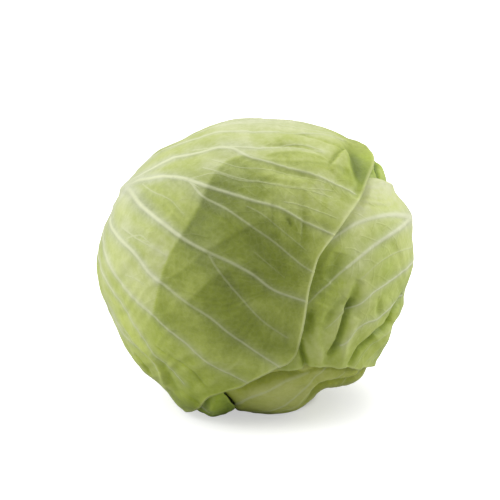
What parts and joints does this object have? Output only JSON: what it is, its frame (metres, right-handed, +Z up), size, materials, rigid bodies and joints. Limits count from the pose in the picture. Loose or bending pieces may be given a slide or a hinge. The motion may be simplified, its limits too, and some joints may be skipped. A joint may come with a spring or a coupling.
{
  "type": "white cabbage",
  "caption": "Round head of white cabbage lying on its side on a small flat spot, with overlapping pale green wrapper leaves, raised veins and a short cut stem.",
  "frame": {"origin": "middle of the small flat spot that the head rests on, straight under the head's centre", "axes": "+Z up; +X to the right as seen from the leaf tips, across the head at its widest; the leaf tips face -Y and 15 degrees up, and the stem faces +Y"},
  "size_m": [0.1786, 0.1709, 0.1619],
  "materials": {
    "front_leaf": "waxy leaf, mid green with pale veins",
    "right_leaf": "waxy leaf, pale green with broad pale ribs",
    "left_leaf": "waxy leaf, fresh green",
    "bottom_leaf": "waxy leaf, mid green",
    "top_leaf": "waxy leaf, bright yellow green",
    "lower_right_leaf": "waxy leaf, mid green",
    "inner_leaves": "pale yellow green leaf",
    "cut_stem": "dry cut stem, cream"
  },
  "bodies": {
    "root": {"wrapper_leaf_front": "front_leaf", "wrapper_leaf_right": "right_leaf", "wrapper_leaf_left": "left_leaf", "wrapper_leaf_bottom": "bottom_leaf", "wrapper_leaf_top": "top_leaf", "wrapper_leaf_lower_right": "lower_right_leaf", "inner_head": "inner_leaves", "stem_stump": "cut_stem"}
  },
  "joints": []
}
